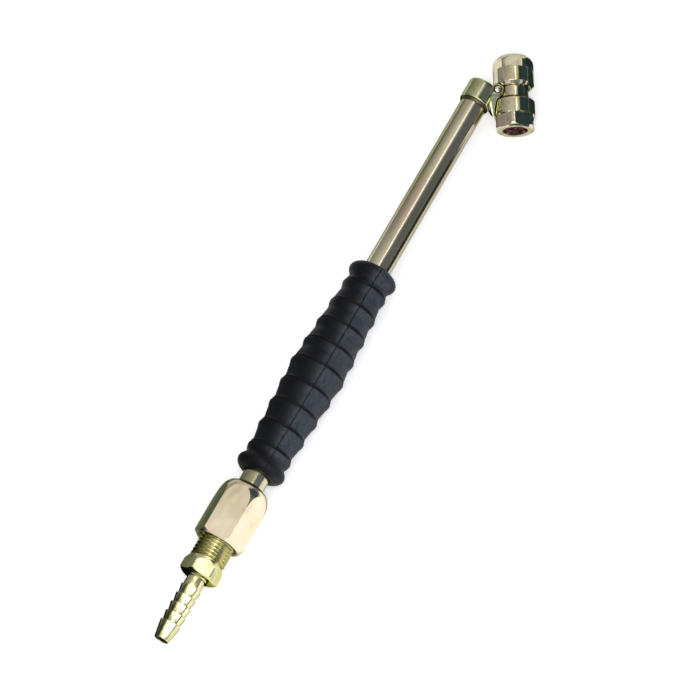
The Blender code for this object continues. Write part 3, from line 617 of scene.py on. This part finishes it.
def build_coupling():
    """Long hexagon coupling whose nose is turned to a bullet shape."""
    flats = hexagon(COUPLING_FLATS, COUPLING_CORNER)
    corner = COUPLING_FLATS / 2 / math.cos(math.radians(30))

    def meeting(radius):
        drop = 1 - (corner - radius) / NOSE_DEPTH
        return COUPLING_END - NOSE_LENGTH + NOSE_REACH * math.sqrt(max(1 - drop * drop, 0))

    def nose(share):
        def point(angle):
            first = meeting(flats(angle))
            x = first + (COUPLING_END - first) * share
            run = min((x - (COUPLING_END - NOSE_LENGTH)) / NOSE_REACH, 1.0)
            return x, corner - NOSE_DEPTH * (1 - math.sqrt(1 - run * run))
        return point

    mouth_edge = chamfered(COUPLING_START, 1, COUPLING_FACE, flats, corner)
    rings = [(COUPLING_START, COUPLING_MOUTH_RADIUS), (COUPLING_START, COUPLING_FACE[0]),
             mouth_edge, beside(mouth_edge, FLAT_SUPPORT), beside(nose(0), -FLAT_SUPPORT)]
    rings += [nose(step / NOSE_STEPS) for step in range(NOSE_STEPS + 1)]
    rings += [(COUPLING_END, BRAZED_BORE_RADIUS), (WEB_END, BRAZED_BORE_RADIUS),
              (WEB_END, WEB_HOLE_RADIUS), (WEB_START, WEB_HOLE_RADIUS),
              (WEB_START, FEMALE_RADIUS), (COUPLING_START + COUPLING_MOUTH_DEPTH, FEMALE_RADIUS)]
    # Painted shade darkens the coupling's mouth and the inside past it.
    return turned("hex_coupling", rings, HANDPIECE, corner=COUPLING_CORNER, bevel=COUPLING_BEVEL,
                  painted_shade_within=COUPLING_MOUTH_RADIUS - 0.05)


def build_tube():
    """Plain plated tube."""
    rings = [(TUBE_START, TUBE_BORE_RADIUS), (TUBE_START, TUBE_RADIUS),
             (TUBE_END, TUBE_RADIUS), (TUBE_END, TUBE_BORE_RADIUS)]
    return turned("plated_tube", rings, HANDPIECE)


def build_braze_ring(name, face, direction):
    """Thin fillet of braze between a joint's face and the tube, coloured near black as a painted
    shadow line beside the rim.
    """
    near = face + direction * BRAZE_GAP
    low, rise = BRAZE_RISE
    rings = [(near, BRAZED_BORE_RADIUS)]
    for turn in quarter_turn(6):
        rings.append((near + direction * BRAZE_CREST * math.sin(turn),
                      BRAZED_BORE_RADIUS + low + rise * (1 - math.sin(turn))))
    rings.append((near + direction * BRAZE_LENGTH, BRAZED_BORE_RADIUS))
    return turned(name, rings, HANDPIECE)


def rib_radius(rib):
    """The ribs are highest in the grip's middle."""
    half = (RIB_COUNT - 1) / 2
    return RIB_MIDDLE_RADIUS + (RIB_END_RADIUS - RIB_MIDDLE_RADIUS) * abs(rib - half) / half


def build_grip():
    """Moulded grip: each rib rises towards the head and ends in a creased lip. Painted shade darkens
    each crease and the hose-side flange.
    """
    crests = [GRIP_START + FIRST_RIB + rib * RIB_PITCH for rib in range(RIB_COUNT)]
    rings = [(GRIP_START + x, radius) for x, radius in FLANGE]
    for rib, crest in enumerate(crests):
        top = rib_radius(rib)
        base = top - RIB_HEIGHT
        profile = [(-3.3, base), (-2.7, base + 0.06), (-2.0, base + 0.27), (-1.3, base + 0.52),
                   (-0.6, base + 0.68), (-0.15, top), (0.0, top - 0.03), (0.15, top - 0.4),
                   (0.45, top - 0.62), (0.75, top - 0.5), (1.0, top - 0.36), (1.4, base + 0.18),
                   (2.0, base + 0.02), (2.6, base)]
        if rib == 0:
            profile = [(-2.6, base - 0.2)] + profile[2:]
        if rib == RIB_COUNT - 1:
            profile = profile[:-2] + [(2.0, base - 0.05), (2.6, FLANGE[-1][1])]
        rings += [(crest + x, radius) for x, radius in profile]
    rings += [(GRIP_END - x, radius) for x, radius in reversed(FLANGE[:-1])]
    rings += [(GRIP_END, GRIP_BORE_RADIUS), (GRIP_START, GRIP_BORE_RADIUS)]
    shade_end, shade_length, shade_most = FLANGE_SHADE

    # Painted shade: full in each crease, fading in over the hose-side flange.
    def dark(co):
        nearest = min(abs(co.x - (crest + CREASE_PLACE)) for crest in crests)
        in_crease = 1.0 if nearest < CREASE_HALF_WIDTH else 0.0
        return max(in_crease, min(shade_most, (GRIP_START + shade_end - co.x) / shade_length))

    return put_in_place("ribbed_grip", ring_mesh(rings), HANDPIECE, dark=dark)


# ---------------------------------------------------------------- socket

def guide(name, mesh, place=None):
    """A shape in millimetres that only cuts or joins another."""
    if place is not None:
        mesh.transform(place)
    bmesh.ops.recalc_face_normals(mesh, faces=mesh.faces)
    return object_of(name, mesh)


def bridge_mesh(head):
    """The hull of a round boss, a root inside the sleeve and a small point beside its rim."""
    mesh = bmesh.new()
    boss = head @ Vector((*BRIDGE_PLACE, 0))
    root = Vector((SLEEVE_END + ROOT_PLACE[0], ROOT_PLACE[1], 0))
    tip = Vector((SLEEVE_START + POINT_PLACE[0], POINT_PLACE[1] - SLEEVE_RADIUS, 0))
    edges = [(boss, BRIDGE_RADIUS, BRIDGE_HALF_WIDTH - BRIDGE_BEVEL),
             (boss, BRIDGE_RADIUS - BRIDGE_BEVEL, BRIDGE_HALF_WIDTH),
             (root, ROOT_RADIUS, BRIDGE_HALF_WIDTH), (tip, POINT_RADIUS, POINT_HALF_WIDTH)]
    for centre, radius, half_width in edges:
        for step in range(SMALL_SIDES):
            angle = 2 * math.pi * step / SMALL_SIDES
            reach = Vector((radius * math.cos(angle), radius * math.sin(angle), 0))
            for side in (-1, 1):
                mesh.verts.new(centre + reach + Vector((0, 0, side * half_width)))
    hull = bmesh.ops.convex_hull(mesh, input=mesh.verts)
    spare = [item for item in hull["geom_interior"] if isinstance(item, bmesh.types.BMVert)]
    bmesh.ops.delete(mesh, geom=spare, context="VERTS")
    return mesh


def sleeve_rings():
    """The sleeve's outside: a bevelled rim, and a rounded end at the head."""
    rings = [(SLEEVE_START, 0), (SLEEVE_START, SLEEVE_RADIUS - SLEEVE_RIM_BEVEL),
             (SLEEVE_START + SLEEVE_RIM_BEVEL, SLEEVE_RADIUS)]
    rings += [(SLEEVE_END - SLEEVE_ROUNDING * (1 - math.sin(turn)),
               SLEEVE_RADIUS - SLEEVE_ROUNDING * (1 - math.cos(turn)))
              for turn in quarter_turn(8)]
    return rings + [(SLEEVE_END, 0)]


def bore_rings():
    """The tube's seat in the sleeve and the chamber past it."""
    outside, seat = SLEEVE_START - 2, TUBE_END + GAP
    return [(outside, 0), (outside, BRAZED_BORE_RADIUS), (seat, BRAZED_BORE_RADIUS),
            (seat, TUBE_BORE_RADIUS), (CHAMBER_END, TUBE_BORE_RADIUS), (CHAMBER_END, 0)]


def clearance_rings():
    """The room that the head takes from the bridge: its neck, shoulders and skirts."""
    wall = NECK_LENGTH / 2 - CAP_CLEARANCE
    half = [(wall, NECK_RADIUS + GAP), (wall, SKIRT_RADIUS - CAP_SHOULDER + 0.15),
            (NECK_LENGTH / 2 + CAP_SHOULDER - 0.15, SKIRT_RADIUS + CAP_CLEARANCE),
            (FOOT_REACH, SKIRT_RADIUS + CAP_CLEARANCE), (FOOT_REACH, 0)]
    return [(-x, radius) for x, radius in reversed(half)] + half


def drill_rings():
    """The plug's recess and a short drilling below it, downwards from the bridge's face."""
    radius, depth = PLUG_RECESS
    bottom = BRIDGE_HALF_WIDTH + PLUG_DRILL_RADIUS / 3
    return [(-1, 0), (-1, radius), (depth, radius), (depth, PLUG_DRILL_RADIUS),
            (bottom, PLUG_DRILL_RADIUS), (bottom, 0)]


def build_socket():
    """Sleeve and bridge in one brazed and plated piece whose inner corners are filled."""
    head = Matrix.Scale(1 / MM, 4) @ HANDPIECE.inverted() @ HEAD @ Matrix.Scale(MM, 4)
    port = (head @ Matrix.Translation((*BRIDGE_PLACE, BRIDGE_HALF_WIDTH))
            @ Matrix.Rotation(math.radians(90), 4, "Y"))
    drill = ring_mesh(drill_rings(), SMALL_SIDES, solid=True)
    whole = guide("socket_shape", ring_mesh(sleeve_rings(), solid=True))
    tools = [(guide("bridge_shape", bridge_mesh(head)), "UNION"),
             (guide("bore_shape", ring_mesh(bore_rings(), solid=True)), "DIFFERENCE"),
             (guide("clearance_shape", ring_mesh(clearance_rings(), solid=True), head),
              "DIFFERENCE"),
             (guide("drill_shape", drill, port), "DIFFERENCE")]
    for tool, operation in tools:
        step = whole.modifiers.new(tool.name, "BOOLEAN")
        step.operation = operation
        step.solver = "EXACT"
        step.object = tool
    grain = whole.modifiers.new("grain", "REMESH")
    grain.mode = "VOXEL"
    grain.voxel_size = SOCKET_GRAIN
    soft = whole.modifiers.new("soft", "SMOOTH")
    soft.factor = 0.5
    soft.iterations = 5
    bpy.context.view_layer.update()
    shape = whole.evaluated_get(bpy.context.evaluated_depsgraph_get())
    mesh = bmesh.new()
    mesh.from_mesh(shape.data)
    for thing in [whole] + [tool for tool, _ in tools]:
        bpy.data.objects.remove(thing, do_unlink=True)
    drilled = port.inverted()

    # Painted shade in the sleeve's bore and, a little less, in the plug's recess.
    def dark(co):
        if math.hypot(co.y, co.z) < BRAZED_BORE_RADIUS + 0.15 and co.x < SLEEVE_END - 1:
            return 1.0
        at = drilled @ co
        in_recess = math.hypot(at.y, at.z) < PLUG_RECESS[0] + 0.12 and at.x > 0.15
        return 0.8 if in_recess else 0.0

    return put_in_place("socket", mesh, HANDPIECE, sharp=60, dark=dark)


def build_plug():
    """Bright domed plug in the recess of the bridge."""
    place = HEAD @ Matrix.Translation(Vector((*BRIDGE_PLACE, BRIDGE_HALF_WIDTH)) * MM)
    place = place @ Matrix.Rotation(math.radians(90), 4, "Y")
    seat, radius = PLUG_RECESS[1] - GAP, PLUG_RECESS[0] - GAP
    stem_radius, stem_length = PLUG_STEM
    rings = [(seat - PLUG_DOME, 0)]
    rings += [(seat - PLUG_DOME * math.cos(turn), radius * math.sin(turn))
              for turn in quarter_turn(8)[1:]]
    rings += [(seat, stem_radius), (seat + stem_length, stem_radius), (seat + stem_length, 0)]
    return turned("plug", rings, place, SMALL_SIDES, solid=True)


# ---------------------------------------------------------------- head

def build_head_body():
    """Waisted body between the two caps: a neck, and a spigot inside each cap."""
    end, neck = FOOT_REACH - SPIGOT_START, NECK_LENGTH / 2 + GAP
    half = [(neck - NECK_FILLET, NECK_RADIUS), (neck, NECK_RADIUS + NECK_FILLET),
            (neck, SPIGOT_RADIUS), (end - SPIGOT_BEVEL, SPIGOT_RADIUS),
            (end, SPIGOT_RADIUS - SPIGOT_BEVEL), (end, HEAD_CHAMBER_RADIUS),
            (PARTITION_HALF, HEAD_CHAMBER_RADIUS), (PARTITION_HALF, AIR_HOLE_RADIUS)]
    rings = half + [(-x, radius) for x, radius in reversed(half)]
    return turned("waisted_body", rings, HEAD)


def build_cap(side):
    """Screwed cap: a hexagon with a turned outer end, and a round skirt with a bevelled shoulder."""
    corner = CAP_CORNER[side]
    flats = hexagon(CAP_FLATS, corner)
    face, rounding = MOUTH_FACE_RADIUS[side], MOUTH_ROUNDING[side]

    def limited(angle):
        return min(flats(angle), SKIRT_RADIUS)

    def meeting(angle):
        """How far up the turned end, as a share, its curve meets the outline."""
        return 1 - math.sqrt(max(SKIRT_RADIUS - limited(angle), 0) / (SKIRT_RADIUS - face))

    def turned_end(share):
        """A share of the way from the face to that meeting, on the turned end."""
        def point(angle):
            reach = meeting(angle) * share
            return rounding * reach, SKIRT_RADIUS - (SKIRT_RADIUS - face) * (1 - reach) ** 2
        return point

    def flat_start(angle):
        """Just past that meeting, where each flat starts."""
        return rounding * meeting(angle) + FLAT_START, limited(angle)

    def outline(depth):
        """The hexagon, turned down to the skirt's radius, at a depth."""
        return lambda angle: (depth, limited(angle))

    length = FOOT_REACH - NECK_LENGTH / 2
    shoulder = length - CAP_SHOULDER
    skirt = CAP_HEX_LENGTH + CAP_HEX_RUNOUT
    bore_start, bore_radius = CAP_BORE
    rings = [(0, MOUTH_RADIUS + MOUTH_EDGE), (0, face - EDGE_SUPPORT)]
    rings += [turned_end(step / 8) for step in range(9)]
    rings += [flat_start, outline(CAP_HEX_LENGTH - EDGE_SUPPORT), outline(CAP_HEX_LENGTH),
              (skirt, SKIRT_RADIUS), (skirt + EDGE_SUPPORT, SKIRT_RADIUS),
              (shoulder - EDGE_SUPPORT, SKIRT_RADIUS), (shoulder, SKIRT_RADIUS),
              (length, SKIRT_RADIUS - CAP_SHOULDER), (length, bore_radius),
              (bore_start, bore_radius), (bore_start, MOUTH_RADIUS), (MOUTH_EDGE, MOUTH_RADIUS)]
    # Painted shade darkens the cap's mouth.
    return turned(side + "_cap", rings, FEET[side], corner=corner, bevel=CAP_BEVEL,
                  painted_shade_within=MOUTH_RADIUS + 0.2)


def build_gasket(side):
    """Rubber washer that a tyre valve is pressed against."""
    start, end = GASKET_ENDS
    rings = [(start, GASKET_HOLE_RADIUS), (start, SPIGOT_RADIUS), (end, SPIGOT_RADIUS),
             (end, GASKET_HOLE_RADIUS)]
    return turned(side + "_gasket", rings, FEET[side], SMALL_SIDES, bevel=GASKET_BEVEL)


def build_pin(side):
    """Depressor pin with a rounded nose and a flange."""
    return turned(side + "_pin", PIN, FEET[side], SMALL_SIDES, solid=True)


dress(build_hose_barb(), "hose_barb", "handpiece", TAIL_ZINC)
dress(build_coupling(), "inlet_coupling", "handpiece", COUPLING_ZINC)
dress(build_tube(), "main_tube", "handpiece", TUBE_ZINC)
dress(build_grip(), "rubber_grip", "handpiece", GRIP_RUBBER)
dress(build_braze_ring("coupling_braze", COUPLING_END, 1), "coupling_braze_ring", "handpiece",
      BRAZE_SHADOW_LINE)
dress(build_braze_ring("socket_braze", SLEEVE_START, -1), "socket_braze_ring", "handpiece",
      BRAZE_SHADOW_LINE)
dress(build_socket(), "tube_socket", "handpiece", SOCKET_ZINC)
dress(build_plug(), "passage_plug", "handpiece", COUPLING_ZINC)
dress(build_head_body(), "head_body", "handpiece", HEAD_ZINC)
for side in ("upper", "lower"):
    dress(build_cap(side), side + "_foot_cap", "handpiece", HEAD_ZINC)
    dress(build_gasket(side), side + "_foot_gasket", "handpiece", SEAL_RUBBER)
    dress(build_pin(side), side + "_depressor_pin", side + "_plunger", BRASS)

KEPT = {                    # nodes that show their own solids
    "barb_seal_washer": SEAL_RUBBER, "upper_valve_disc": BRASS, "lower_valve_disc": BRASS,
    "upper_return_spring": STEEL, "lower_return_spring": STEEL,
}
local = HANDPIECE.inverted()
for node, material in KEPT.items():
    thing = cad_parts[node]
    own = thing.data.attributes.new("place", "FLOAT_VECTOR", "POINT")
    for corner, value in zip(thing.data.vertices, own.data):
        value.vector = (local @ corner.co) / MM
    thing.data.materials.clear()
    thing.data.materials.append(material)

# ---------------------------------------------------------------- floor, light and camera

# The handpiece's axes in the camera's own (x right, y up, z towards the viewer), from the photo
TUBE_DIRECTION = Vector((0.4761, 0.8169, -0.3256))
SIDE_DIRECTION = Vector((-0.8705, 0.4903, -0.0425))
UP_DIRECTION = Vector((0.1249, 0.3037, 0.9446))
AIMED_AT = 117.7            # along the tube
AIMED_PLACE = Vector((-9.861, -4.825, -1600.0))     # of that point, in the camera's axes
LENS = 230.4

FLOOR_COLOUR = (0.86, 0.86, 0.87)
FLOOR_LIFT = 0.40
FLOOR_DROP = 0.00005        # metres below the object, so that no two faces share a place

# Colours of the room from the viewer's right to the left: cool and dim, a bright band, warm grey
ROOM_TONES = ((0.0, (0.10, 0.13, 0.17)), (0.03, (0.25, 0.31, 0.46)), (0.07, (0.27, 0.33, 0.50)),
              (0.15, (0.20, 0.23, 0.33)), (0.29, (0.28, 0.29, 0.34)), (0.33, (0.50, 0.50, 0.53)),
              (0.35, (0.88, 0.87, 0.90)), (0.42, (0.90, 0.88, 0.90)),
              (0.525, (0.74, 0.70, 0.65)), (0.70, (0.57, 0.54, 0.50)),
              (0.83, (0.45, 0.44, 0.42)), (1.0, (0.28, 0.29, 0.28)))

# Boards that lie on the floor, facing up, seen only in reflections: place in metres, size and colour.
# The near ones are painted shadow, dark where the floor beside the handpiece lies in its shade.
FLOOR_CARDS = {
    "tube_near_right_shadow_card": ((0.06, -0.033, 0.0003), (0.08, 0.034), (0.04, 0.045, 0.045)),
    "tube_far_right_card": ((0.16, -0.245, 0.0002), (0.28, 0.39), (0.04, 0.045, 0.045)),
    "head_card": ((0.40, -0.305, 0.0003), (0.574, 0.590), (0.03, 0.055, 0.06)),
    "tube_left_shadow_card": ((0.035, 0.0175, 0.0003), (0.15, 0.025), (0.07, 0.07, 0.05)),
    "coupling_near_shadow_card": ((-0.078, 0.0175, 0.0003), (0.036, 0.025), (0.60, 0.70, 0.55)),
    "coupling_far_card": ((-0.043, 0.24, 0.0003), (0.106, 0.42), (0.17, 0.20, 0.18)),
    "collar_card": ((-0.25, 0.40, 0.0003), (0.306, 0.79), (0.012, 0.011, 0.012)),
}


def build_camera():
    """The photo's long lens, placed by where it sees a point of the tube."""
    data = bpy.data.cameras.new("camera")
    data.lens = LENS
    data.sensor_width = 36
    data.clip_start, data.clip_end = 0.05, 20
    camera = bpy.data.objects.new("camera", data)
    bpy.context.scene.collection.objects.link(camera)
    seen = Matrix((TUBE_DIRECTION, SIDE_DIRECTION, UP_DIRECTION)).transposed()
    turn = HANDPIECE.to_3x3() @ seen.inverted()
    turn = turn.to_quaternion().to_matrix()
    place = HANDPIECE @ Vector((AIMED_AT * MM, 0, 0)) - turn @ (AIMED_PLACE * MM)
    camera.matrix_world = Matrix.Translation(place) @ turn.to_4x4()
    bpy.context.scene.camera = camera


def matte_sheet(name, half, finish, colour, roughness):
    """A flat square, of a half width in metres, in a matte material of its own."""
    mesh = bmesh.new()
    bmesh.ops.create_grid(mesh, x_segments=1, y_segments=1, size=half)
    sheet = object_of(name, mesh)
    material, nodes, _ = new_material(finish)
    shader = nodes["Principled BSDF"]
    shader.inputs["Base Color"].default_value = (*colour, 1)
    shader.inputs["Roughness"].default_value = roughness
    shader.inputs["Specular IOR Level"].default_value = 0.0
    sheet.data.materials.append(material)
    return sheet


def stage_panel(name, place, size, facing, colour):
    """A plain board of the studio that shows only in reflections."""
    board = matte_sheet(name, 0.5, name + "_card", colour, 0.9)
    turn = (Vector(facing) - Vector(place)).to_track_quat("Z", "Y").to_matrix().to_4x4()
    board.matrix_world = Matrix.Translation(place) @ turn @ Matrix.Diagonal((*size, 1, 1))
    board.visible_camera = False
    board.visible_shadow = False
    board.visible_diffuse = False


def build_floor():
    """A white floor: its own colour keeps the shadow, and a share of plain white lifts it."""
    floor = matte_sheet("floor", 3, "floor_paper", FLOOR_COLOUR, 0.95)
    floor.location = (0, 0, -FLOOR_DROP)
    tree = floor.active_material.node_tree
    shader = tree.nodes["Principled BSDF"]
    shader.inputs["Emission Color"].default_value = (1, 1, 1, 1)
    path = tree.nodes.new("ShaderNodeLightPath")
    seen = math_of(tree.nodes, tree.links, "MAXIMUM", path.outputs["Is Camera Ray"],
                   path.outputs["Is Glossy Ray"])
    lift = math_of(tree.nodes, tree.links, "MULTIPLY", seen, FLOOR_LIFT)
    tree.links.new(lift, shader.inputs["Emission Strength"])


def build_light(name, place, size, power, target=(0, 0, 0.01)):
    """A rectangular lamp that points at a target."""
    data = bpy.data.lights.new(name, "AREA")
    data.shape = "RECTANGLE"
    data.size, data.size_y = size
    data.energy = power
    lamp = bpy.data.objects.new(name, data)
    bpy.context.scene.collection.objects.link(lamp)
    lamp.location = place
    lamp.rotation_euler = (Vector(target) - Vector(place)).to_track_quat("-Z", "Y").to_euler()


def build_world():
    """White to the camera; elsewhere a room whose colour changes from side to side."""
    world = bpy.data.worlds.new("studio")
    bpy.context.scene.world = world
    world.use_nodes = True
    nodes, links = world.node_tree.nodes, world.node_tree.links
    room = nodes["Background"]
    white = nodes.new("ShaderNodeBackground")
    white.inputs["Color"].default_value = (1, 1, 1, 1)
    path = nodes.new("ShaderNodeLightPath")
    mix = nodes.new("ShaderNodeMixShader")
    place = nodes.new("ShaderNodeTexCoord")
    parts = nodes.new("ShaderNodeSeparateXYZ")
    links.new(place.outputs["Generated"], parts.inputs["Vector"])
    side = range_of(nodes, links, parts.outputs["Y"], 0.0, 1.0, -1.0, 1.0)
    links.new(tones_of(nodes, links, side, ROOM_TONES), room.inputs["Color"])
    links.new(path.outputs["Is Camera Ray"], mix.inputs["Fac"])
    links.new(room.outputs["Background"], mix.inputs[1])
    links.new(white.outputs["Background"], mix.inputs[2])
    links.new(mix.outputs["Shader"], nodes["World Output"].inputs["Surface"])


build_camera()
build_floor()
build_world()
build_light("strip", (0.31, -0.30, 0.95), (0.46, 0.03), 0.20)
build_light("softbox", (-0.118, -0.22, 0.42), (0.096, 1.00), 0.90, (-0.118, 0, 0.01))
build_light("neck_light", (-0.012, -0.06, 0.44), (0.024, 0.35), 0.06, (-0.012, 0, 0.01))
build_light("hose_fill", (-0.38, -0.30, 0.45), (0.44, 0.60), 2.0, (-0.10, 0, 0.01))
stage_panel("tube_flag", (0.24, -0.45, 0.26), (0.30, 0.50), (0.24, 0, 0.02), (0.30, 0.34, 0.38))
stage_panel("head_flag", (0.66, -0.42, 0.40), (0.62, 0.80), (0.115, -0.01, 0.20),
            (0.045, 0.09, 0.11))
for name, (place, size, colour) in FLOOR_CARDS.items():
    stage_panel(name, place, size, (*place[:2], 1), colour)
stage_panel("hose_flag", (-0.175, 0.30, 0.17), (0.16, 0.34), (-0.175, 0, 0.01),
            (0.05, 0.06, 0.03))
bpy.context.scene.view_settings.view_transform = "Standard"
